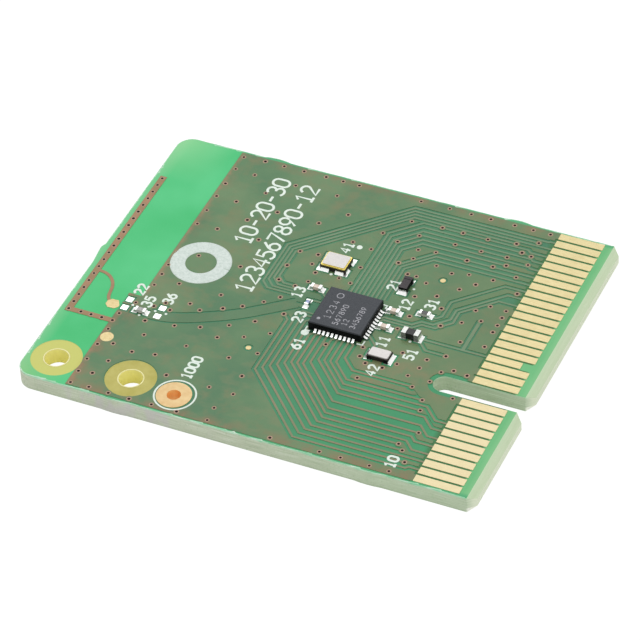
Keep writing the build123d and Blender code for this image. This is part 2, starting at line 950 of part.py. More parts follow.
def board_parts():
    """Board, ground copper, contacts, aerial, runs and lands."""
    parts = [make_board(), make_ground_top(), make_eyelet()]
    for side, height in (("top", board_top), ("bottom", 0)):
        parts.append(make_copper(f"near_contacts_{side}", height, lambda: draw_contacts(0, near_contacts)))
        parts.append(
            make_copper(f"far_contacts_{side}", height, lambda: draw_contacts(near_contacts, far_contacts))
        )
    parts.append(make_copper("ground_copper_bottom", 0, draw_ground_bottom))
    for label, draw in (
        ("signal_runs", draw_signal_runs),
        ("radio_feed", draw_radio_feed),
        ("printed_aerial", draw_aerial),
        ("aerial_pad", draw_aerial_pad),
        ("test_pads", lambda: draw_test_pads(0)),
        ("component_lands", lambda: draw_lands(0)),
        ("empty_lands", lambda: draw_empty_lands(0)),
        ("paddle_land", draw_paddle),
    ):
        parts.append(make_copper(label, board_top, draw))
    return parts


def chip_parts():
    """Radio chip and its solder."""
    terminals = make_chip_metal("chip_terminals", draw_terminals)
    paddle = make_chip_metal("chip_paddle", draw_paddle)
    return [make_chip_body(), terminals, paddle, make_chip_solder()]


def small_parts():
    """Crystals and chip-size parts with their solder."""
    parts = [make_crystal_base(), make_crystal_ring(), make_crystal_lid(), make_crystal_solder()]
    for name, block, items, crown in (
        ("capacitor", tall_block, capacitors, 0),
        ("resistor", small_block, resistors, 0),
        ("coil", coil_block, [coil], 0),
        ("ferrite_bead", bead_block, [bead], 0),
        ("aerial_coil", tiny_block, [aerial_coil], 0),
        ("small_crystal", watch_block, [watch_crystal], cap_wall),
    ):
        parts.append(make_cores(f"{name}_body", block, items, crown))
        parts.append(make_end_caps(f"{name}_end_caps", block, items, crown))
    return parts + [make_watch_lid(), make_films(), make_part_solder()]


os.makedirs("parts", exist_ok=True)
for piece in board_parts() + chip_parts() + small_parts():
    export_step(piece, f"parts/{piece.label}.step")
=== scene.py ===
"""Looks for the plug-in radio board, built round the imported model. Shapes take board places in millimetres
as (x, y): x from the inner ends of the contacts, y from the centre of the nearest contact. Materials and
the edge lip take places in the row frame, in millimetres too."""

import math
import random

import bmesh
import bpy
from mathutils import Matrix, Vector


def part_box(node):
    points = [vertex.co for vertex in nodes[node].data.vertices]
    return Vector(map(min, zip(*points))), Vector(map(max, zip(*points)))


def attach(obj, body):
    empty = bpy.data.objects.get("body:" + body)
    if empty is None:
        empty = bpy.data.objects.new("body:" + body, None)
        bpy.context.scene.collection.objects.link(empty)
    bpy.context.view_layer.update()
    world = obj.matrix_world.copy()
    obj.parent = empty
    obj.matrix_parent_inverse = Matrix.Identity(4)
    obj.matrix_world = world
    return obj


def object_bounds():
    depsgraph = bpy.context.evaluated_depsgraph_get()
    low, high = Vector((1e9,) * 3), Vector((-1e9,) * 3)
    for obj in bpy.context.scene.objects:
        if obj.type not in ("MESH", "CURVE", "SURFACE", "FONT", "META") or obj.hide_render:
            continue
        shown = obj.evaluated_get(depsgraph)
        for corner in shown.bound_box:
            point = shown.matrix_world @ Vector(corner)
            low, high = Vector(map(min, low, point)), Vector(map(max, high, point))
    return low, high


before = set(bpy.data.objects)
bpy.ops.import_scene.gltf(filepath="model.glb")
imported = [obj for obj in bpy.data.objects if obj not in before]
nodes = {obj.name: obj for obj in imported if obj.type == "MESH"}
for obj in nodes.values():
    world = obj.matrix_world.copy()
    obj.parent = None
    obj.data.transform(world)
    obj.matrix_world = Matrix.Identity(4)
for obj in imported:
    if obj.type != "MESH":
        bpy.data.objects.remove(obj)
cad_lo, cad_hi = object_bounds()

MM = 0.001

# From a board place to the row frame
SHIFT_X, SHIFT_Y = 16.02, -16.505

# Height of the laminate, and of the masked copper and lands on it
BOARD_TOP, MASK_TOP = 1.64, 1.68
CHIP_HEIGHT = 0.85

# Row-frame places of the key slot's middle and of the mounting holes' row
KEY_Y, HOLE_Y = -0.505, -14.245

chip_lo, chip_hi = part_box("chip_body")
CHIP_X = (chip_lo[0] + chip_hi[0]) / 2 / MM
CHIP_Y = (chip_lo[1] + chip_hi[1]) / 2 / MM
CHIP_HALF = (chip_hi[0] - chip_lo[0]) / 2 / MM
chance = random.Random(7)


def spot(x, y, z):
    """Row-frame point in metres of a board place in millimetres."""
    return Vector(((x + SHIFT_X) * MM, (y + SHIFT_Y) * MM, z * MM))


def linear(r, g, b):
    """Linear colour of an sRGB colour given in 0 to 255."""
    out = []
    for value in (r, g, b):
        c = value / 255
        out.append(c / 12.92 if c <= 0.04045 else ((c + 0.055) / 1.055) ** 2.4)
    return (*out, 1.0)


# Materials


class Shader:
    """Node tree of one material, with short calls for the nodes used here."""

    def __init__(self, name):
        self.material = bpy.data.materials.new(name)
        self.material.use_nodes = True
        self.tree = self.material.node_tree
        self.tree.nodes.clear()
        self.out = self.tree.nodes.new("ShaderNodeOutputMaterial")
        self.surface = self.tree.nodes.new("ShaderNodeBsdfPrincipled")
        self.tree.links.new(self.surface.outputs[0], self.out.inputs[0])

    def feed(self, socket, value):
        """Links a socket to another, or sets its constant value."""
        if isinstance(value, bpy.types.NodeSocket):
            self.tree.links.new(value, socket)
        else:
            socket.default_value = value

    def make(self, kind, inputs=None, **settings):
        """New node with its settings and inputs."""
        node = self.tree.nodes.new(kind)
        for key, value in settings.items():
            setattr(node, key, value)
        for key, value in (inputs or {}).items():
            self.feed(node.inputs[key], value)
        return node

    def place(self):
        """Row-frame place in millimetres."""
        coords = self.make("ShaderNodeTexCoord").outputs["Object"]
        return self.make("ShaderNodeVectorMath", {0: coords, 3: 1 / MM}, operation="SCALE").outputs[0]

    def up(self):
        """How far the surface faces up, from -1 to 1."""
        return self.axes(self.make("ShaderNodeNewGeometry").outputs["Normal"])[2]

    def math(self, operation, a, b=0.0, clamp=False):
        """Result of a sum on one or two values."""
        return self.make("ShaderNodeMath", {0: a, 1: b}, operation=operation, use_clamp=clamp).outputs[0]

    def away(self, value, middle):
        """Distance of a value from a middle."""
        return self.math("ABSOLUTE", self.math("SUBTRACT", value, middle))

    def axes(self, vector):
        """The x, y and z of a vector."""
        return self.make("ShaderNodeSeparateXYZ", {0: vector}).outputs

    def stretch(self, vector, scale):
        """A vector scaled on each axis."""
        return self.make("ShaderNodeVectorMath", {0: vector, 1: scale}, operation="MULTIPLY").outputs[0]

    def noise(self, vector, scale, detail=3.0, rough=0.55):
        """Cloudy noise, about 0.5 on average."""
        inputs = {"Vector": vector, "Scale": scale, "Detail": detail, "Roughness": rough}
        return self.make("ShaderNodeTexNoise", inputs).outputs["Fac"]

    def band(self, value, low, high):
        """0 to 1 as value goes from low to high."""
        node = self.make("ShaderNodeMapRange", {"Value": value, "From Min": low, "From Max": high})
        return node.outputs["Result"]

    def ramp(self, value, *stops):
        """Colour at a value between (position, colour) stops."""
        node = self.make("ShaderNodeValToRGB", {"Fac": value})
        points = node.color_ramp.elements
        while len(points) < len(stops):
            points.new(0.5)
        for point, (place, colour) in zip(points, stops):
            point.position = place
            point.color = colour
        return node.outputs["Color"]

    def mix(self, factor, a, b):
        """Colour a where a factor is 0, and b where it is 1."""
        node = self.make("ShaderNodeMix", data_type="RGBA", blend_type="MIX")
        for place, value in ((0, factor), (6, a), (7, b)):
            self.feed(node.inputs[place], value)
        return node.outputs[2]

    def tint(self, color, mask, amount, tone):
        """Colour moved towards a tone by an amount where a mask is 1."""
        return self.mix(self.math("MULTIPLY", mask, amount), color, tone)

    def bump(self, height, distance, strength=1.0):
        """Normal of a relief that is a distance in millimetres deep."""
        inputs = {"Height": height, "Distance": distance * MM, "Strength": strength}
        return self.make("ShaderNodeBump", inputs).outputs["Normal"]

    def finish(self, **inputs):
        """Sets the surface's sockets and returns the material."""
        names = {
            "color": "Base Color",
            "metal": "Metallic",
            "rough": "Roughness",
            "normal": "Normal",
            "specular": "Specular IOR Level",
            "coat": "Coat Weight",
            "coat_rough": "Coat Roughness",
        }
        for key, value in inputs.items():
            self.feed(self.surface.inputs[names[key]], value)
        return self.material


def both(s, a, b):
    """Product of two masks."""
    return s.math("MULTIPLY", a, b)


def beyond_ground(s, x, y):
    """1 on the aerial's side of the ground copper's stepped end, else 0."""
    line = s.math("ADD", -16.58, s.math("MULTIPLY", s.band(y, -4.36, -4.33), 1.2))
    return s.band(s.math("SUBTRACT", x, line), 0.1, -0.1)


# Distances from the chip's middle between which the painted shadow on the mask by its right and near sides
# begins
SHADE_FROM, SHADE_TO = 2.3, 2.5


def mask_color(s, place):
    """Green of the mask over bare laminate: brightest round the aerial, deep and saturated between the near
    runs, duller between the far ones, and dark between the contacts, with a painted shadow beside the chip's
    right and near sides."""
    x, y, _ = s.axes(place)
    soft = s.noise(place, 0.16, 2.0)

    def green(low, high):
        return s.ramp(soft, (0.3, linear(*low)), (0.7, linear(*high)))

    aerial = green((62, 190, 114), (84, 202, 132))
    aerial = s.tint(aerial, s.band(x, -20.2, -21.7), 0.7, linear(142, 208, 154))
    corner = both(s, s.band(y, -12.5, -16.5), s.band(x, -17.0, -20.5))
    aerial = s.tint(aerial, corner, 0.55, linear(150, 202, 134))
    far_corner = both(s, s.band(y, 11.0, 16.5), s.band(x, -16.0, -21.0))
    aerial = s.tint(aerial, far_corner, 0.75, linear(150, 216, 154))
    near = green((60, 120, 88), (70, 132, 98))
    bright = green((48, 134, 90), (60, 148, 100))
    near = s.mix(s.band(x, -4.0, 8.0), near, bright)
    far = green((60, 116, 86), (74, 130, 94))
    lead_in = green((100, 180, 116), (114, 190, 128))
    lead_in = s.tint(lead_in, s.band(x, 20.5, 20.95), 0.5, linear(140, 198, 140))
    gaps = s.mix(s.band(y, -4.5, -0.5), near, far)
    gaps = s.mix(s.band(x, 15.4, 15.95), gaps, linear(52, 106, 54))
    # Painted shadow: the mask beside the chip's right and near sides, among its leads, darkened almost to
    # black
    beside_x = s.math("SUBTRACT", s.away(x, CHIP_X), CHIP_HALF)
    beside_y = s.math("SUBTRACT", s.away(y, CHIP_Y), CHIP_HALF)
    beside = s.math("MAXIMUM", beside_x, beside_y)
    right = s.band(x, CHIP_X + SHADE_FROM, CHIP_X + SHADE_TO)
    front = s.band(y, CHIP_Y - SHADE_FROM, CHIP_Y - SHADE_TO)
    shade = both(s, s.band(beside, 0.62, 0.36), s.math("MAXIMUM", right, front))
    gaps = s.tint(gaps, shade, 0.85, linear(14, 24, 18))
    key = both(s, s.band(x, 18.9, 19.3), s.band(s.away(y, KEY_Y), 0.5, 0.42))
    gaps = s.mix(s.math("MAXIMUM", s.band(x, 19.95, 20.15), key), gaps, lead_in)
    margin = s.math("MAXIMUM", s.band(y, -16.6, -16.95), s.band(y, 16.6, 16.9))
    gaps = s.mix(margin, gaps, linear(78, 168, 114))
    return s.mix(beyond_ground(s, x, y), gaps, aerial)


def ground_color(s, place):
    """Mask over the ground copper: sea green, olive towards the contacts, and brown in patches."""
    x, y, _ = s.axes(place)
    stops = ((0.35, linear(80, 122, 86)), (0.5, linear(92, 129, 90)), (0.65, linear(106, 136, 96)))
    color = s.ramp(s.noise(place, 0.16, 3.0), *stops)
    clouds = s.band(s.noise(s.stretch(place, (1.0, 1.4, 1.0)), 0.34, 3.0, 0.6), 0.5, 0.66)
    color = s.tint(color, clouds, 0.4, linear(126, 130, 94))
    along = both(s, s.band(x, 4.0, 6.5), s.band(x, 15.5, 13.0))
    across = both(s, s.band(y, -9.0, -7.0), s.band(y, -2.5, -4.5))
    reddish = s.band(s.noise(place, 0.6, 3.0, 0.6), 0.4, 0.62)
    color = s.tint(color, both(s, both(s, along, across), reddish), 0.6, linear(146, 124, 92))
    color = s.tint(color, s.band(x, 2.0, 14.0), 0.4, linear(110, 128, 86))
    edge = s.math("MAXIMUM", s.band(s.math("ABSOLUTE", y), 15.6, 16.9), s.band(x, -14.0, -16.2))
    spots = s.band(s.noise(place, 0.5, 3.0), 0.42, 0.62)
    color = s.tint(color, both(s, edge, spots), 0.7, linear(148, 112, 84))
    blush = s.band(s.noise(place, 0.42, 4.0, 0.6), 0.54, 0.72)
    color = s.tint(color, blush, 0.4, linear(134, 122, 84))
    brink = both(s, s.band(y, -4.5, -4.2), s.band(x, -14.9, -15.3))
    brink = s.math("MAXIMUM", brink, s.band(x, -16.0, -16.5))
    ragged = s.band(s.noise(place, 1.6, 3.0), 0.3, 0.6)
    color = s.tint(color, both(s, brink, ragged), 0.6, linear(172, 128, 98))
    return s.tint(color, s.noise(place, 7.0, 2.0), 0.12, linear(64, 98, 62))


def aerial_color(s, place):
    """Mask over the aerial's copper: reddish brown, paler in patches."""
    soft = s.noise(place, 0.6, 3.0)
    color = s.ramp(soft, (0.35, linear(154, 124, 90)), (0.65, linear(174, 130, 100)))
    return s.tint(color, s.noise(place, 5.0, 2.0), 0.2, linear(120, 118, 78))


GLOSS = {"rough": 0.42, "coat": 0.06, "coat_rough": 0.25, "specular": 0.22}


def board_material():
    """Green mask on flat faces, yellow bare rings and pale fibre layers on every wall and bevel. The walls
    carry
    painted light: a highlight along their top, shade at their foot, and a lighter end wall, lowest contact
    end and hole walls.
    """
    s = Shader("board_laminate")
    place = s.place()
    x, y, z = s.axes(place)
    up = s.math("ABSOLUTE", s.up())
    weave = s.noise(s.stretch(place, (3.0, 3.0, 1.0)), 1.4, 2.0)
    mask = s.tint(mask_color(s, place), weave, 0.1, linear(110, 206, 148))
    layers = s.noise(s.stretch(place, (0.35, 0.35, 14.0)), 1.0, 4.0, 0.6)
    stops = ((0.3, linear(176, 190, 162)), (0.5, linear(200, 209, 184)), (0.7, linear(222, 230, 212)))
    wall = s.ramp(layers, *stops)
    fibres = s.noise(s.stretch(place, (5.0, 5.0, 2.5)), 1.0, 3.0, 0.7)
    wall = s.tint(wall, s.band(fibres, 0.55, 0.75), 0.6, linear(158, 184, 144))
    grey = s.band(s.noise(s.stretch(place, (0.5, 0.5, 0.2)), 1.0, 2.0), 0.48, 0.6)
    wall = s.tint(wall, both(s, grey, s.band(x, -2.0, -8.0)), 0.5, linear(204, 196, 202))
    wall = s.tint(wall, s.band(x, -2.0, 14.0), 0.35, linear(176, 206, 166))
    # Painted highlight along the top of the walls, under the mask's edge
    wall = s.tint(wall, s.band(z, 1.46, 1.6), 0.6, linear(186, 226, 190))
    # Painted shade: a darker strip along the foot of the walls, except at the contact end
    foot = both(s, s.band(z, 0.14, 0.05), s.band(x, 21.0, 20.6))
    wall = s.tint(wall, foot, 0.45, linear(132, 150, 116))
    # Painted light: the lowest part of the contact end made near white, lifting the shade it gets from
    # facing down
    lit_lower_end = both(s, s.band(z, 0.5, 0.42), s.band(x, 20.9, 21.1))
    wall = s.mix(lit_lower_end, wall, linear(250, 252, 240))
    # Mounting-hole walls: pale yellow laminate, painted brighter still to lift the shade inside the holes
    lit_hole_walls = both(s, both(s, s.band(x, -6.5, -7.2), s.band(x, -20.5, -20.2)), s.band(y, -10.5, -11.6))
    lit_hole_walls = both(s, lit_hole_walls, s.math("SUBTRACT", 1.0, s.band(s.away(y, HOLE_Y), 1.2, 1.3)))
    wall = s.mix(lit_hole_walls, wall, linear(250, 244, 158))
    # Painted light: the end wall by the contacts made lighter, as the lamps fall on it more than on the long
    # walls
    lit_end_wall = both(s, s.band(x, 21.0, 21.5), s.band(up, 0.3, 0.1))
    wall = s.tint(wall, lit_end_wall, 0.7, linear(236, 242, 216))
    bevel = both(s, s.band(up, 0.3, 0.45), s.band(x, 20.6, 20.9))
    wall = s.tint(wall, bevel, 0.7, linear(204, 220, 184))
    ring = s.ramp(s.noise(place, 0.9, 3.0), (0.3, linear(180, 172, 84)), (0.7, linear(194, 186, 104)))
    ring = s.mix(s.band(x, -14.0, -17.0), ring, linear(204, 206, 112))
    recess = both(s, s.band(z, 1.632, 1.622), s.band(z, 1.55, 1.56))
    under = both(s, s.band(z, 0.05, 0.055), s.band(z, 0.1, 0.08))
    flat = s.mix(s.math("ADD", recess, under, True), mask, ring)
    lying = s.band(up, 0.93, 0.98)
    rough = s.math("SUBTRACT", 0.66, s.math("MULTIPLY", lying, 0.24))
    relief = s.bump(s.math("MULTIPLY", fibres, s.band(up, 0.98, 0.93)), 0.05, 0.5)
    return s.finish(color=s.mix(lying, wall, flat), rough=rough, normal=relief, specular=0.22)


def masked(s, place, color):
    """Material of copper under the mask in a colour, with the mask's soft relief."""
    return s.finish(color=color, normal=s.bump(s.noise(place, 2.2, 2.0), 0.008, 0.3), **GLOSS)


def masked_copper(name, stops, blush, amounts, dark):
    """Mask over copper in soft patches, with a warmer blush in places. Stops and amounts of blush are
    given for the near side and the far side."""
    s = Shader(name)
    place = s.place()
    near, far = stops
    soft = s.noise(place, 0.3, 3.0)
    side = s.band(s.axes(place)[1], -5.0, -1.0)
    color = s.mix(side, s.ramp(soft, *near), s.ramp(soft, *far))
    warm = s.band(s.noise(place, 0.55, 4.0, 0.6), 0.5, 0.7)
    amount = s.math("ADD", amounts[0], s.math("MULTIPLY", side, amounts[1] - amounts[0]))
    color = s.tint(color, warm, amount, blush)
    return masked(s, place, s.tint(color, s.noise(place, 6.0, 2.0), 0.12, dark))


def masked_area(name, paint):
    """Copper under the mask whose colour a function paints."""
    s = Shader(name)
    place = s.place()
    return masked(s, place, paint(s, place))


def plated(name, light, dark, rough, metal, streak=(1.0, 12.0, 1.0), pale=None):
    """Plated metal with fine brushed streaks and faint stains. A pale tone, a painted highlight, lightens
    its near side.
    """
    s = Shader(name)
    place = s.place()
    lines = s.noise(s.stretch(place, streak), 1.2, 4.0, 0.65)
    stains = s.noise(place, 0.8, 3.0)
    color = s.ramp(lines, (0.3, dark), (0.65, light))
    color = s.tint(color, s.band(stains, 0.5, 0.75), 0.3, dark)
    if pale:
        color = s.tint(color, s.band(s.axes(place)[1], -3.0, -8.0), 0.6, pale)
    rough_map = s.math("ADD", rough - 0.05, s.math("MULTIPLY", stains, 0.12))
    return s.finish(color=color, metal=metal, rough=rough_map, normal=s.bump(lines, 0.01, 0.3))


def eyelet_material():
    """Gold pad, paler in patches, with a deeper orange barrel, painted lighter than its plating to lift the
    shade inside the hole.
    """
    s = Shader("eyelet_plate")
    place = s.place()
    up = s.math("ABSOLUTE", s.up())
    flat = s.ramp(s.noise(place, 1.4, 3.0), (0.3, linear(208, 172, 116)), (0.65, linear(220, 192, 138)))
    # Barrel: painted light, a near-white orange that lifts the shade inside the hole
    barrel = s.ramp(s.noise(place, 2.0, 3.0), (0.3, linear(252, 184, 100)), (0.7, linear(255, 214, 140)))
    color = s.mix(s.band(up, 0.5, 0.9), barrel, flat)
    return s.finish(color=color, metal=0.2, rough=0.45, normal=s.bump(s.noise(place, 9.0, 3.0), 0.01, 0.3))


def cast(name, light, dark, rough, grain=9.0, coat=0.0, specular=0.35):
    """Moulded or fired body with fine grain and slight patches."""
    s = Shader(name)
    place = s.place()
    fine = s.noise(place, grain, 4.0, 0.7)
    patches = s.noise(place, 0.7, 2.0)
    mottle = s.math("ADD", s.math("MULTIPLY", fine, 0.7), s.math("MULTIPLY", patches, 0.3))
    color = s.ramp(mottle, (0.35, dark), (0.65, light))
    normal = s.bump(fine, 0.012, 0.5)
    return s.finish(color=color, rough=rough, normal=normal, coat=coat, coat_rough=0.15, specular=specular)


def two_tone_painted_shade(name, top_stops, side_stops, rough=0.5, grain=11.0, specular=0.08, metal=0.0):
    """Finely grained body with one pair of tones on top and a darker pair on its walls. For most bodies the
    darker walls are painted shade of the same material; the crystal lid's gold walls are its own colour.
    """
    s = Shader(name)
    place = s.place()
    fine = s.noise(place, grain, 4.0, 0.7)
    top = s.ramp(fine, (0.32, top_stops[0]), (0.68, top_stops[1]))
    side = s.ramp(fine, (0.3, side_stops[0]), (0.7, side_stops[1]))
    color = s.mix(s.band(s.up(), 0.4, 0.95), side, top)
    normal = s.bump(fine, 0.012, 0.6)
    return s.finish(color=color, rough=rough, normal=normal, specular=specular, metal=metal)


def film_material():
    """Glazed resistor tops: dark by the chip, grey by the aerial."""
    s = Shader("film")
    place = s.place()
    fine = s.noise(place, 8.0, 4.0, 0.7)
    dark = s.ramp(fine, (0.35, linear(22, 22, 24)), (0.65, linear(48, 48, 50)))
    pale = s.ramp(fine, (0.35, linear(134, 134, 130)), (0.65, linear(182, 182, 178)))
    color = s.mix(s.band(s.axes(place)[0], 0.0, -4.0), dark, pale)
    return s.finish(color=color, rough=0.35, normal=s.bump(fine, 0.012, 0.5), coat=0.2, coat_rough=0.15)


def ink(name, light, dark):
    """Printed white ink, slightly uneven."""
    s = Shader(name)
    place = s.place()
    color = s.ramp(s.noise(place, 5.0, 4.0, 0.7), (0.35, dark), (0.6, light))
    normal = s.bump(s.noise(place, 14.0, 2.0), 0.01, 0.3)
    return s.finish(color=color, rough=0.6, normal=normal, specular=0.2)


def via_material(name, around):
    """Copper ring under mask: pink round the hole and fading outwards into what is around it."""
    s = Shader(name)
    reach = s.make("ShaderNodeAttribute", attribute_name="reach").outputs["Fac"]
    place = s.place()
    wobble = s.math("MULTIPLY", s.math("SUBTRACT", s.noise(place, 3.0, 2.0), 0.5), 0.35)
    where = s.math("ADD", reach, wobble, True)
    stops = ((0.0, linear(112, 78, 62)), (0.25, linear(198, 166, 144)), (0.55, linear(146, 122, 94)))
    ring = s.ramp(where, *stops)
    color = s.mix(s.band(where, 0.25, 0.95), ring, around(s, place))
    return s.finish(color=color, **GLOSS)


def lip_material():
    """Pale frayed lip of the mask and the fibres along the sawn edges."""
    s = Shader("mask_lip")
    place = s.place()
    fibres = s.noise(s.stretch(place, (0.8, 6.0, 6.0)), 1.0, 3.0, 0.6)
    stops = ((0.35, linear(132, 206, 158)), (0.52, linear(176, 222, 188)), (0.66, linear(226, 238, 224)))
    color = s.ramp(fibres, *stops)
    return s.finish(color=color, rough=0.55, normal=s.bump(fibres, 0.02, 0.5), specular=0.22)


def via_hole_material():
    """Black via mouth with a slightly lighter bottom, painted shade standing in for the depth of the via's
    hole.
    """
    s = Shader("via_mouth")
    place = s.place()
    color = s.ramp(s.noise(place, 8.0, 2.0), (0.3, linear(16, 10, 10)), (0.7, linear(40, 26, 22)))
    return s.finish(color=color, rough=0.6, specular=0.1)


RUN_NEAR = ((0.35, linear(124, 130, 96)), (0.68, linear(136, 134, 104)))
RUN_FAR = ((0.35, linear(106, 136, 102)), (0.68, linear(116, 144, 112)))
FEED = ((0.35, linear(84, 120, 84)), (0.68, linear(96, 134, 98)))
# Top and wall tones of the small bodies: the darker walls of the chip, coil, end caps and small crystal lid
# are painted shade, and the coil's lighter top a painted highlight; the crystal lid's gold walls are its own
# colour
LID_TOP = (linear(202, 198, 196), linear(214, 210, 207))
GOLD_SIDE = (linear(214, 192, 84), linear(244, 226, 126))
CHIP_TOP = (linear(64, 67, 72), linear(88, 91, 95))
SHADED_BLACK_SIDE = (linear(6, 6, 8), linear(14, 14, 16))
COIL_LIT_TOP = (linear(66, 62, 64), linear(88, 84, 86))
CAP_TOP = (linear(206, 208, 204), linear(236, 238, 234))
CAP_SHADED_SIDE = (linear(96, 98, 92), linear(150, 152, 146))
SMALL_LID_SHADED_SIDE = (linear(70, 66, 64), linear(110, 104, 100))
DARK_CAP_TOP = (linear(52, 50, 48), linear(80, 76, 70))
RUN_BLUSH, RUN_DARK = linear(156, 124, 100), linear(84, 110, 74)
FEED_BLUSH, FEED_DARK = linear(128, 120, 86), linear(66, 104, 66)
# Gold tones of the contacts, and the pale tone of the painted highlight on the near ones
GOLD, GOLD_DARK, GOLD_SHEEN = linear(218, 204, 154), linear(198, 182, 128), linear(214, 200, 162)
PAD, PAD_DARK = linear(218, 200, 148), linear(198, 174, 118)
SEAL, SEAL_DARK = linear(246, 228, 128), linear(212, 190, 84)

MATERIALS = {
    "board": board_material(),
    "ground": masked_area("masked_ground", ground_color),
    "aerial": masked_area("masked_aerial", aerial_color),
    "run": masked_copper("masked_run", (RUN_NEAR, RUN_FAR), RUN_BLUSH, (0.55, 0.2), RUN_DARK),
    "feed": masked_copper("masked_feed", (FEED, FEED), FEED_BLUSH, (0.35, 0.35), FEED_DARK),
    "gold": plated("gold_contact", GOLD, GOLD_DARK, 0.42, 0.3, pale=GOLD_SHEEN),
    "pad": plated("gold_pad", PAD, PAD_DARK, 0.42, 0.3, (3.0, 3.0, 1.0)),
    "eyelet": eyelet_material(),
    "tin": plated("tinned_land", linear(255, 255, 252), linear(240, 243, 238), 0.24, 0.85, (4.0, 4.0, 1.0)),
    "solder": plated("solder", linear(255, 255, 253), linear(240, 242, 240), 0.2, 0.85, (5.0, 5.0, 5.0)),
    "lead": plated("chip_lead", linear(255, 255, 253), linear(240, 242, 240), 0.24, 0.8),
    "lid": two_tone_painted_shade("crystal_lid", LID_TOP, GOLD_SIDE, 0.4, 6.0, 0.3, 0.2),
    "small_lid": two_tone_painted_shade("small_crystal_lid", LID_TOP, SMALL_LID_SHADED_SIDE, 0.4, 6.0, 0.3, 0.2),
    "ring": plated("seal_ring", SEAL, SEAL_DARK, 0.35, 0.4),
    "cap": plated("end_cap", linear(252, 252, 250), linear(206, 208, 206), 0.3, 0.6, (6.0, 6.0, 6.0)),
    "dark_cap": two_tone_painted_shade("dark_end_cap", DARK_CAP_TOP, SHADED_BLACK_SIDE),
    "chip": two_tone_painted_shade("chip_mould", CHIP_TOP, SHADED_BLACK_SIDE),
    "dark": cast("dark_ceramic", linear(44, 38, 36), linear(20, 17, 17), 0.5, 9.0, 0.0, 0.2),
    "coil": two_tone_painted_shade("coil_body", COIL_LIT_TOP, SHADED_BLACK_SIDE, 0.5, 9.0),
    "bead_cap": two_tone_painted_shade("bead_end_cap", CAP_TOP, CAP_SHADED_SIDE, 0.4, 7.0, 0.3, 0.2),
    "bead": cast("bead_body", linear(30, 29, 31), linear(12, 12, 13), 0.4, 9.0, 0.1, 0.3),
    # Capacitor bodies: tan ceramic, painted paler to stand in for the highlights along their glossy top
    # edges
    "pale": cast("pale_ceramic", linear(236, 222, 208), linear(204, 182, 166), 0.4, 6.0, 0.2),
    "white": cast("white_ceramic", linear(214, 212, 206), linear(184, 182, 176), 0.5),
    "blue": cast("blue_ceramic", linear(184, 194, 230), linear(126, 138, 188), 0.35, 6.0, 0.2),
    "film": film_material(),
    "emblem": ink("emblem_ink", linear(222, 232, 226), linear(200, 214, 206)),
    "ink": ink("white_ink", linear(240, 250, 240), linear(222, 236, 226)),
    "mark": ink("chip_mark", linear(178, 178, 184), linear(140, 140, 146)),
    "via": via_material("via_ring", ground_color),
    "aerial_via": via_material("aerial_via_ring", aerial_color),
    "mouth": via_hole_material(),
    # Hole rims: pale yellow-white, a painted highlight along each mounting hole's edge
    "rim": cast("hole_rim", linear(252, 248, 192), linear(224, 216, 142), 0.5),
    "lip": lip_material(),
}

NODE_LOOKS = {
    "circuit_board": "board",
    "ground_copper_top": "ground",
    "ground_copper_bottom": "ground",
    "signal_runs": "run",
    "radio_feed": "feed",
    "printed_aerial": "aerial",
    "near_contacts_top": "gold",
    "far_contacts_top": "gold",
    "near_contacts_bottom": "gold",
    "far_contacts_bottom": "gold",
    "ground_eyelet": "eyelet",
    "aerial_pad": "pad",
    "test_pads": "pad",
    "component_lands": "tin",
    "empty_lands": "tin",
    "paddle_land": "tin",
    "chip_body": "chip",
    "chip_terminals": "lead",
    "chip_paddle": "lead",
    "chip_solder": "solder",
    "part_solder": "solder",
    "crystal_solder": "solder",
    "crystal_base": "dark",
    "crystal_seal_ring": "ring",
    "crystal_lid": "lid",
    "small_crystal_body": "dark",
    "small_crystal_end_caps": "dark_cap",
    "small_crystal_lid": "small_lid",
    "coil_body": "coil",
    "coil_end_caps": "coil",
    "ferrite_bead_body": "bead",
    "ferrite_bead_end_caps": "bead_cap",
    "capacitor_body": "pale",
    "capacitor_end_caps": "cap",
    "resistor_body": "white",
    "resistor_end_caps": "cap",
    "resistor_films": "film",
    "aerial_coil_body": "blue",
    "aerial_coil_end_caps": "cap",
}

for node_name, look in NODE_LOOKS.items():
    for slot in nodes[node_name].material_slots:
        slot.material = MATERIALS[look]


def piece(name, mesh, look):
    """New object on the root body from a mesh in the row frame."""
    obj = bpy.data.objects.new(name, mesh)
    bpy.context.scene.collection.objects.link(obj)
    mesh.materials.append(MATERIALS[look])
    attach(obj, "root")
    return obj


# Vias

MOUTH, RING, AERIAL_RING = 0.12, 0.33, 0.3
VIA_SIDES = 20

# Share of the relief of rings and mouths that is left on the underside, to keep it near the lowest face
UNDER_LIFT = 0.5


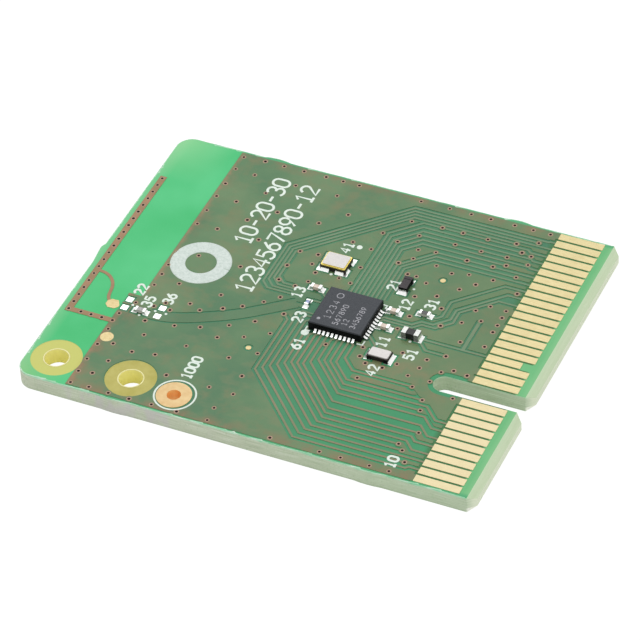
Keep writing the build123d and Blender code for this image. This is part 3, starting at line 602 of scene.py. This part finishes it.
def via_places():
    """Board places of the vias in the ground copper: rows first, then the single ones."""
    places = [(-32.25, y) for y in (9.4, 7.2, 5.1, 3.05, 1.4, -0.15)]
    places += [(-31.0, y) for y in (13.9, 15.45, 16.8, 18.7, 22.8, 24.8, 26.9, 28.8, 31.0, 32.8)]
    places += [(x, -0.17) for x in (-28.6, -26.6)]
    places += [(x, -0.1) for x in (-30.5, -24.5, -22.1, -19.2, -13.3, -8.7, -6.75, -4.1, -2.3)]
    far_row = (-28.9, -27.0, -25.0, -22.8, -21.1, -19.5, -13.4, -10.6, -8.5, -6.6, -4.3, -2.5, -0.85)
    places += [(x, 32.95) for x in far_row]
    places += [(x, y) for x in (-29.0, -24.9) for y in (14.85, 18.9, 22.8, 26.85, 30.85)]
    places += [(-27.0, 24.9), (-27.0, 28.9), (-20.8, 22.75), (-20.8, 26.85), (-20.8, 30.9), (-18.8, 28.85)]
    near = """
        -31.5 11.2  -29.8 11.35  -29.0 12.1  -28.25 11.4  -29.7 9.35  -28.97 7.65  -31.0 5.65
        -29.0 5.3  -26.95 5.7  -30.4 3.5  -31.0 1.6  -24.9 3.7  -27.0 9.7  -24.8 10.35  -24.9 7.7
        -26.95 12.8  -25.8 12.35  -24.0 13.3  -22.5 14.2  -22.55 11.5  -22.85 9.7  -20.65 12.8
        -20.7 10.6  -20.8 7.7  -20.8 3.7  -18.5 3.65  -19.3 1.5  -18.75 6.0  -18.7 9.1  -18.75 11.85
        -13.65 12.35  -18.7 14.6  -21 15.4  -19.9 16.5  -10.5 13.2  -10.3 12.05  -9.5 11.4
        -7.9 11.4  -6.9 12.3  -4.9 12.55  -2.95 12.75  -2.0 13.3  -0.7 13.15  -5.45 11.3  -3.4 11.3
        -0.75 10.05  -4.55 10.15  -9.4 9.45  -3.1 8.93  -2.75 7.69  -1.8 5.1  -2.85 3.24  -2.25 2.62
        -1.5 1.38  -3.35 14.76  -4.7 13.75  -7.0 13.8  -2.9 16.9  -0.7 17.1  -8.65 16.5  -5.3 18.2
    """
    far = """
        -21 18.6  -21.1 20.6  -19.1 22.9  -19.1 21.55  -19.3 18.34  -18.45 19.3  -18.35 20.6
        -16.1 20.7  -14.9 20.45  -14.9 22.7  -15 25.3  -16.9 25.6  -14.9 27.7  -13.1 30.1
        -13.2 27.1  -11.7 28.55  -11.05 26.75  -11.0 25.5  -12.0 24.5  -10.65 23.4  -9.8 23.4
        -8.65 22.9  -10.2 30.3  -8.2 30.3  -5.8 30.3  -3.2 30.67  -2.3 29.74  -1.35 29.55
        -1.4 31.49  -8.25 28.6  -5.75 28.6  -3.3 28.68  -1.2 28.4  -2.95 27.62  -1.55 26.48
        -9.45 27.0  -6.45 27.0  -4.0 27.05  -8.7 25.35  -7.05 24.9  -5.55 25.3  -3.3 25.4  -4.5 24.3
        -0.65 24.5  -5.6 23.2  -2.2 22.1  -3.2 21.15  -0.7 22.05  -0.7 21.1  -0.7 20.05  -0.75 19.1
        -2.25 20.05  -3.75 19.25  -6.1 20.3  -7.1 21.65  -8.9 20.9  -8.3 18.35
    """
    for text in (near, far):
        numbers = [float(word) for word in text.split()]
        places += list(zip(numbers[::2], numbers[1::2]))
    return places


def aerial_via_places():
    """Board places of the vias in the aerial: the end strip's row, then the foot's."""
    return [(-36.7, 8.35 + i) for i in range(20)] + [(x, 8.35) for x in (-35.5, -34.5, -33.45, -32.4)]


def ring_points(x, y, radius, height, sides=VIA_SIDES):
    """Points round a circle at a height over a board place."""
    turns = [2 * math.pi * k / sides for k in range(sides)]
    return [spot(x + radius * math.cos(a), y + radius * math.sin(a), height) for a in turns]


def ring_faces(start, turn, sides=VIA_SIDES):
    """Faces between a ring of points and the next. A turn of -1 makes them look down."""
    pairs = [(start + k, start + (k + 1) % sides) for k in range(sides)]
    return [(a, b, b + sides, a + sides)[::turn] for a, b in pairs]


def make_vias(name, places, rim, look, face=MASK_TOP, lift=1.0):
    """Raised rings that fade outwards, and a dark dished mouth in each, painted as the shade of the via's
    hole, on a face of the board. A negative lift is for a face that looks down."""
    levels = ((rim, -0.001, 1.0), (rim * 0.72, 0.002, 0.66), (0.19, 0.007, 0.3), (MOUTH, 0.005, 0.0))
    if lift < 0:
        levels = tuple((radius, max(height, 0.002), reach) for radius, height, reach in levels)
    turn = 1 if lift > 0 else -1
    rings, ring_quads, reaches = [], [], []
    mouths, mouth_faces = [], []
    for x, y in places:
        start = len(rings)
        grow = chance.uniform(0.9, 1.1)
        for radius, height, reach in levels:
            rings += ring_points(x, y, radius * grow, face + lift * height)
            reaches += [reach] * VIA_SIDES
        for i in range(len(levels) - 1):
            ring_quads += ring_faces(start + i * VIA_SIDES, turn)
        start = len(mouths)
        for radius, height in ((MOUTH * grow, 0.006), (MOUTH * 0.6, 0.003)):
            mouths += ring_points(x, y, radius, face + lift * height)
        mouth_faces += ring_faces(start, turn)
        mouth_faces.append(tuple(range(start + VIA_SIDES, start + 2 * VIA_SIDES))[::turn])
    mesh = bpy.data.meshes.new(name + "_rings")
    mesh.from_pydata(rings, [], ring_quads)
    mesh.attributes.new("reach", "FLOAT", "POINT").data.foreach_set("value", reaches)
    piece(name + "_rings", mesh, look).data.shade_smooth()
    mesh = bpy.data.meshes.new(name + "_mouths")
    mesh.from_pydata(mouths, [], mouth_faces)
    piece(name + "_mouths", mesh, "mouth").data.shade_smooth()


# Printed marks and rims


def arc(cx, cy, rx, ry, start, end, steps=10):
    """Points of an elliptical arc, angles in degrees."""
    turns = [math.radians(start + (end - start) * i / steps) for i in range(steps + 1)]
    return [(cx + rx * math.cos(a), cy + ry * math.sin(a)) for a in turns]


# Strokes of each sign in a box DIGIT_WIDTH wide and 1 high
DIGIT_WIDTH = 0.6
SIGNS = {
    "0": [arc(0.3, 0.7, 0.3, 0.3, 0, 180) + arc(0.3, 0.3, 0.3, 0.3, 180, 360) + [(DIGIT_WIDTH, 0.7)]],
    "1": [[(0.08, 0.78), (0.32, 1.0), (0.32, 0.0)], [(0.1, 0.0), (0.54, 0.0)]],
    "2": [arc(0.3, 0.71, 0.29, 0.29, 165, -25) + [(0.02, 0.0), (DIGIT_WIDTH, 0.0)]],
    "3": [arc(0.28, 0.75, 0.27, 0.25, 150, -90), arc(0.28, 0.27, 0.31, 0.27, 80, -150)],
    "4": [[(0.44, 0.0), (0.44, 1.0), (0.0, 0.3), (DIGIT_WIDTH, 0.3)]],
    "5": [[(0.55, 1.0), (0.08, 1.0), (0.05, 0.58)] + arc(0.28, 0.32, 0.31, 0.32, 120, -150)],
    "6": [[(0.48, 1.0), (0.12, 0.62)] + arc(0.3, 0.31, 0.29, 0.31, 150, 510)],
    "7": [[(0.0, 1.0), (DIGIT_WIDTH, 1.0), (0.18, 0.0)]],
    "8": [arc(0.3, 0.76, 0.24, 0.24, 90, 450), arc(0.3, 0.27, 0.3, 0.27, 90, 450)],
    "9": [arc(0.3, 0.69, 0.29, 0.31, -30, 330) + [(0.12, 0.0)]],
    "-": [[(0.08, 0.46), (0.52, 0.46)]],
}


def text_strokes(text, x, y, height, advance):
    """Strokes of signs printed along +y with their tops towards -x, from the line's start at (x, y)."""
    lines = []
    for i, sign in enumerate(text):
        for stroke in SIGNS[sign]:
            lines.append([(x - height * t, y + advance * i + height * s) for s, t in stroke])
    return lines


def draw_strokes(name, lines, width, low, high, look):
    """Flat printed lines of a width, from one height to another, with rounded ends."""
    curve = bpy.data.curves.new(name, "CURVE")
    curve.dimensions = "3D"
    curve.bevel_depth = width / 2 * MM
    curve.bevel_resolution = 2
    curve.use_fill_caps = True
    for line in lines:
        spline = curve.splines.new("POLY")
        spline.points.add(len(line) - 1)
        for point, (x, y) in zip(spline.points, line):
            point.co = (*spot(x, y, 0.0), 1.0)
    holder = bpy.data.objects.new(name, curve)
    bpy.context.scene.collection.objects.link(holder)
    solid = holder.evaluated_get(bpy.context.evaluated_depsgraph_get())
    mesh = bpy.data.meshes.new_from_object(solid)
    bpy.data.objects.remove(holder)
    flatten = (high - low) / width
    for vertex in mesh.vertices:
        vertex.co.z = (low + high) / 2 * MM + vertex.co.z * flatten
    mesh.materials.clear()
    return piece(name, mesh, look)


def disc(name, places, low, high, look, dome=0.004, sides=28):
    """Low domed discs at (x, y, radius) places."""
    points, faces = [], []
    for x, y, radius in places:
        start = len(points)
        for scale, height in ((1.0, low), (0.94, high), (0.0, high + dome)):
            points += ring_points(x, y, radius * scale, height, sides if scale else 1)
        for quad in ring_faces(start, 1, sides):
            faces += [quad, (quad[3], quad[2], start + 2 * sides)]
    mesh = bpy.data.meshes.new(name)
    mesh.from_pydata(points, [], faces)
    return piece(name, mesh, look)


# Height and advance of the two print sizes, and where the print ends above the mask
BIG, SMALL = (1.6, 1.18), (0.9, 0.74)
PRINT_TOP, DOT_TOP = MASK_TOP + 0.02, MASK_TOP + 0.012

# Plain number beside each part, with the start of its line
PART_NUMBERS = (
    ("10", -2.1, 0.4),
    ("22", -31.35, 12.3),
    ("35", -30.05, 11.1),
    ("36", -28.45, 12.1),
    ("41", -16.65, 24.05),
    ("21", -10.75, 21.0),
    ("12", -8.75, 18.95),
    ("31", -6.65, 19.85),
    ("51", -5.85, 13.2),
    ("11", -8.75, 13.85),
    ("42", -8.15, 10.15),
    ("13", -18.25, 17.05),
    ("23", -16.85, 14.1),
    ("61", -15.55, 10.9),
    ("1000", -22.8, 4.0),
)

# Printed dots at (x, y, radius)
DOTS = (
    (-16.0, 13.1, 0.37),
    (-16.05, 25.15, 0.28),
    (-31.6, 10.8, 0.13),
    (-29.4, 10.8, 0.13),
    (-28.35, 10.8, 0.13),
    (-30.5, 9.8, 0.12),
    (-30.2, 11.1, 0.12),
    (-9.34, 21.75, 0.13),
    (-6.98, 15.35, 0.14),
    (-16.96, 20.91, 0.15),
)


def make_print():
    """White print: number lines, small numbers by each part, ticks, dots, ring and emblem."""
    lines = text_strokes("10-20-30", -25.45, 21.95, *BIG)
    lines += text_strokes("1234567890-12", -22.65, 16.05, *BIG)
    draw_strokes("print_lines", lines, 0.28, BOARD_TOP, PRINT_TOP, "ink")
    small = [stroke for text, x, y in PART_NUMBERS for stroke in text_strokes(text, x, y, *SMALL)]
    draw_strokes("print_numbers", small, 0.26, BOARD_TOP, PRINT_TOP, "ink")
    ring = [arc(-23.12, 1.72, 1.83, 1.83, 0, 360, 64)]
    draw_strokes("print_ring", ring, 0.19, BOARD_TOP, PRINT_TOP, "ink")
    ticks = [
        [(-16.12, 13.95), (-16.12, 13.44), (-15.68, 13.44)],
        [(-11.2, 13.42), (-10.66, 13.42), (-10.66, 13.95)],
        [(-10.66, 18.45), (-10.66, 18.9), (-11.1, 18.9)],
    ]
    draw_strokes("print_ticks", ticks, 0.2, BOARD_TOP, PRINT_TOP, "ink")
    disc("print_dots", DOTS, BOARD_TOP, DOT_TOP, "ink")
    emblem = [arc(-28.4, 18.1, 2.1, 2.1, 0, 360, 72)]
    draw_strokes("print_emblem", emblem, 1.6, BOARD_TOP, PRINT_TOP, "emblem")


# Rims, edge lip, ground tongue and chip marks

HOLE_PLACES = ((-34.82, 2.26), (-27.62, 2.26))
RIM_FOOT = 1.6

# Sawn edges in the row frame: aerial end, near and far edges, corner radius, and where sawing ends
END_X, NEAR_Y, FAR_Y, CORNER, SAWN_X = -21.5, -17.175, 17.075, 1.5, 20.85
LIP_STEP, CORNER_STEPS = 0.16, 8

# Broken-off stubs: places along the long edges, half length, and heights at each edge
STUBS, STUB_HALF = (-11.9, 11.9), 1.3
NEAR_STUB, FAR_STUB, END_STUB = 0.08, 0.18, 0.2

# The end stub rises from one place over a length, and falls over another to its last place
END_RISE_FROM, END_RISE, END_FALL_TO, END_FALL = -1.745, 1.82, 0.855, 0.43

# How the lip wanders and flakes from point to point
DRIFT_STEP, FLAKE_CHANCE, FLAKE_FADE = 0.22, 0.035, 0.72


def make_hole_rims():
    """Raised burr round the mouth of each mounting hole, painted pale to stand in for the highlight along
    the hole's edge.
    """
    rims = [arc(x, y, 1.13, 1.13, 0, 360, 48) for x, y in HOLE_PLACES]
    draw_strokes("hole_rims", rims, 0.13, RIM_FOOT, BOARD_TOP, "rim")


def hump(x, height):
    """How far a broken-off stub stands out of a long edge at x."""
    return max(height * (1.0 - ((x - stub) / STUB_HALF) ** 2) for stub in STUBS)


def edge_path():
    """Points along the sawn edges, from the near edge round the aerial end to the far edge, each with its
    outward direction. They follow the stubs."""
    steps = int((SAWN_X - END_X - CORNER) / LIP_STEP)
    run = [SAWN_X - i * LIP_STEP for i in range(steps)]
    path = [((x, NEAR_Y - max(hump(x, NEAR_STUB), 0.0)), (0.0, -1.0)) for x in run]
    for middle_y, start in ((NEAR_Y + CORNER, 270), (FAR_Y - CORNER, 180)):
        for k in range(CORNER_STEPS + 1):
            a = math.radians(start - 90 * k / CORNER_STEPS)
            across, along = math.cos(a), math.sin(a)
            point = (END_X + CORNER + CORNER * across, middle_y + CORNER * along)
            path.append((point, (across, along)))
        if start == 270:
            for i in range(1, int((FAR_Y - NEAR_Y - 2 * CORNER) / LIP_STEP)):
                y = NEAR_Y + CORNER + i * LIP_STEP
                rise = max((y - END_RISE_FROM) / END_RISE, 0.0)
                fall = max((END_FALL_TO - y) / END_FALL, 0.0)
                path.append(((END_X - min(rise, 1.0, fall) * END_STUB, y), (-1.0, 0.0)))
    path += [((x, FAR_Y + max(hump(x, FAR_STUB), 0.0)), (0.0, 1.0)) for x in reversed(run)]
    return path


def make_edge_lip():
    """Wavy lip where the mask ends at the sawn edges, wider where it has flaked, and kept inside the box
    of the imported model."""
    points, faces = [], []
    drift, flake = 0.5, 0.0
    path = edge_path()
    for (x, y), (across, along) in path:
        drift = min(max(drift + chance.uniform(-DRIFT_STEP, DRIFT_STEP), 0.15), 1.0)
        flake = 1.0 if chance.random() < FLAKE_CHANCE else flake * FLAKE_FADE
        inner = 0.03 + 0.07 * drift + 0.16 * flake
        drop = 0.05 + 0.09 * (1.0 - drift) + 0.1 * flake
        profile = ((-inner, 0.0005), (-inner * 0.5, 0.008), (0.0, 0.004))
        profile += ((0.018, -drop * 0.5), (-0.004, -drop))
        for out, up in profile:
            reach_x = max(x + across * out, cad_lo[0] / MM)
            reach_y = min(max(y + along * out, cad_lo[1] / MM), cad_hi[1] / MM)
            points.append(Vector((reach_x * MM, reach_y * MM, (BOARD_TOP + up) * MM)))
    rows = len(profile)
    for i in range(len(path) - 1):
        for k in range(rows - 1):
            a, b = i * rows + k, (i + 1) * rows + k
            faces.append((a, b, b + 1, a + 1))
    mesh = bpy.data.meshes.new("edge_lip")
    mesh.from_pydata(points, [], faces)
    piece("edge_lip", mesh, "lip").data.shade_smooth()


def make_ground_strip():
    """Thin tongue of ground copper between the last two near runs, with sloping sides."""
    outline = [(-9.9, 9.24), (-4.1, 9.24), (-3.75, 9.42), (-4.16, 9.78), (-4.35, 9.62), (-4.8, 9.68)]
    outline += [(-5.05, 9.84), (-9.9, 9.84), (-10.02, 9.75), (-10.02, 9.33)]
    mesh = bpy.data.meshes.new("ground_strip")
    shape = bmesh.new()
    base = [shape.verts.new(spot(x, y, BOARD_TOP)) for x, y in outline]
    top = shape.faces.new(base)
    bmesh.ops.inset_region(shape, faces=[top], thickness=0.02 * MM)
    for vertex in top.verts:
        vertex.co.z = (MASK_TOP - 0.002) * MM
    bmesh.ops.recalc_face_normals(shape, faces=shape.faces)
    shape.to_mesh(mesh)
    shape.free()
    piece("ground_strip", mesh, "ground")


def make_chip_marks():
    """Plain numbers, a small ring and a first-terminal dot on the chip's top."""
    top = MASK_TOP + CHIP_HEIGHT
    lines = text_strokes("1234", -14.3, 14.65, 0.62, 0.66) + [arc(-14.6, 17.75, 0.3, 0.3, 0, 360, 24)]
    lines += text_strokes("567890", -13.35, 14.15, 0.5, 0.47)
    lines += text_strokes("12", -12.6, 14.35, 0.48, 0.45)
    lines += text_strokes("3456789", -11.75, 14.2, 0.48, 0.43)
    draw_strokes("chip_marks", lines, 0.09, top - 0.001, top + 0.001, "mark")
    disc("chip_dot", [(-15.23, 14.39, 0.17)], top - 0.001, top + 0.0005, "mark", 0.0005)


# Floor, light and camera


WHITE = (1.0, 1.0, 1.0, 1.0)
SEEN_RAYS = ("Is Camera Ray", "Is Glossy Ray", "Is Transmission Ray")
LAMPS = (
    ("key", (-0.12, 0.16, 0.34), 0.3, 0.55),
    ("fill", (0.32, -0.2, 0.28), 0.35, 0.34),
)
AMBIENT = 0.64

# The floor lies this far below the board, in metres. It glows for what is nearer to it than GLOW_REACH,
# and shows white by a share of glow over its own shaded surface, which keeps a soft shadow.
FLOOR_GAP = 0.00003
GLOW_REACH = 5 * FLOOR_GAP
GLOW, GLOW_SHARE = 1.12, 0.85

# Edges of the floor's cells in metres. The middle one holds the board.
FLOOR_LINES = (-3.0, -0.05, 0.05, 3.0)


def make_floor():
    """White floor in nine cells, clear from below."""
    mesh = bpy.data.meshes.new("floor")
    cells = [(4 * i + k, 4 * i + k + 4, 4 * i + k + 5, 4 * i + k + 1) for i in range(3) for k in range(3)]
    mesh.from_pydata([(x, y, -FLOOR_GAP) for x in FLOOR_LINES for y in FLOOR_LINES], [], cells)
    floor = bpy.data.objects.new("floor", mesh)
    bpy.context.scene.collection.objects.link(floor)
    s = Shader("floor")
    s.finish(color=(0.9, 0.9, 0.9, 1.0), rough=0.9, specular=0.0)
    rays = s.make("ShaderNodeLightPath").outputs
    seen = s.math("LESS_THAN", rays["Ray Length"], GLOW_REACH)
    for kind in SEEN_RAYS:
        seen = s.math("MAXIMUM", seen, rays[kind])
    glow = s.make("ShaderNodeEmission", {"Color": WHITE, "Strength": GLOW})
    part = s.math("MULTIPLY", seen, GLOW_SHARE)
    front = s.make("ShaderNodeMixShader", {0: part, 1: s.surface.outputs[0], 2: glow.outputs[0]})
    back = s.make("ShaderNodeNewGeometry").outputs["Backfacing"]
    clear = s.make("ShaderNodeBsdfTransparent")
    whole = s.make("ShaderNodeMixShader", {0: back, 1: front.outputs[0], 2: clear.outputs[0]})
    s.tree.links.new(whole.outputs[0], s.out.inputs[0])
    mesh.materials.append(s.material)


def make_world():
    """Even light from all round. The camera, gloss and clear pieces see it as plain white."""
    world = bpy.data.worlds.new("studio")
    world.use_nodes = True
    tree = world.node_tree
    light, white = tree.nodes["Background"], tree.nodes.new("ShaderNodeBackground")
    for node, strength in ((light, AMBIENT), (white, 1.0)):
        node.inputs["Color"].default_value = WHITE
        node.inputs["Strength"].default_value = strength
    path = tree.nodes.new("ShaderNodeLightPath")
    seen = path.outputs[SEEN_RAYS[0]]
    for kind in SEEN_RAYS[1:]:
        either = tree.nodes.new("ShaderNodeMath")
        either.operation = "MAXIMUM"
        tree.links.new(seen, either.inputs[0])
        tree.links.new(path.outputs[kind], either.inputs[1])
        seen = either.outputs[0]
    choose = tree.nodes.new("ShaderNodeMixShader")
    for socket, value in zip(choose.inputs, (seen, light.outputs[0], white.outputs[0])):
        tree.links.new(value, socket)
    tree.links.new(choose.outputs[0], tree.nodes["World Output"].inputs["Surface"])
    bpy.context.scene.world = world


def make_lamps():
    """Broad lamps above, turned towards the board."""
    for name, place, size, energy in LAMPS:
        lamp = bpy.data.lights.new(name, "AREA")
        lamp.size = size
        lamp.energy = energy
        obj = bpy.data.objects.new(name, lamp)
        obj.location = place
        obj.rotation_mode = "QUATERNION"
        obj.rotation_quaternion = (-Vector(place)).to_track_quat("-Z", "Y")
        bpy.context.scene.collection.objects.link(obj)


# Camera: place on the board in millimetres, direction, upward direction, lens and sensor
CAMERA_PLACE = (100.43, -219.57, 236.63)
CAMERA_LOOK, CAMERA_UP = (-0.3284, 0.6651, -0.6707), (-0.2457, 0.6255, 0.7406)
LENS, SENSOR = 226.76, 36.0
CLIP = (0.05, 10.0)


def make_camera():
    """Camera at the photograph's view: long lens, above the near corner of the contact edge."""
    look = Vector(CAMERA_LOOK).normalized()
    side = look.cross(Vector(CAMERA_UP)).normalized()
    above = side.cross(look)
    data = bpy.data.cameras.new("camera")
    data.sensor_width = SENSOR
    data.lens = LENS
    data.clip_start, data.clip_end = CLIP
    camera = bpy.data.objects.new("camera", data)
    x, y, z = CAMERA_PLACE
    place = Vector((x + SHIFT_X, y + SHIFT_Y, z + BOARD_TOP)) * MM
    turn = Matrix((side, above, -look)).transposed().to_4x4()
    camera.matrix_world = Matrix.Translation(place) @ turn
    bpy.context.scene.collection.objects.link(camera)
    bpy.context.scene.camera = camera
    bpy.context.scene.view_settings.view_transform = "Standard"


make_camera()
make_floor()
make_world()
make_lamps()
make_vias("via", via_places(), RING, "via")
make_vias("aerial_via", aerial_via_places(), AERIAL_RING, "aerial_via")
make_print()
make_chip_marks()
make_hole_rims()
make_ground_strip()
make_edge_lip()
make_vias("under_via", via_places(), RING, "via", 0.0, -UNDER_LIFT)
under_aerial = MASK_TOP - BOARD_TOP
make_vias("under_aerial_via", aerial_via_places(), AERIAL_RING, "aerial_via", under_aerial, -UNDER_LIFT)
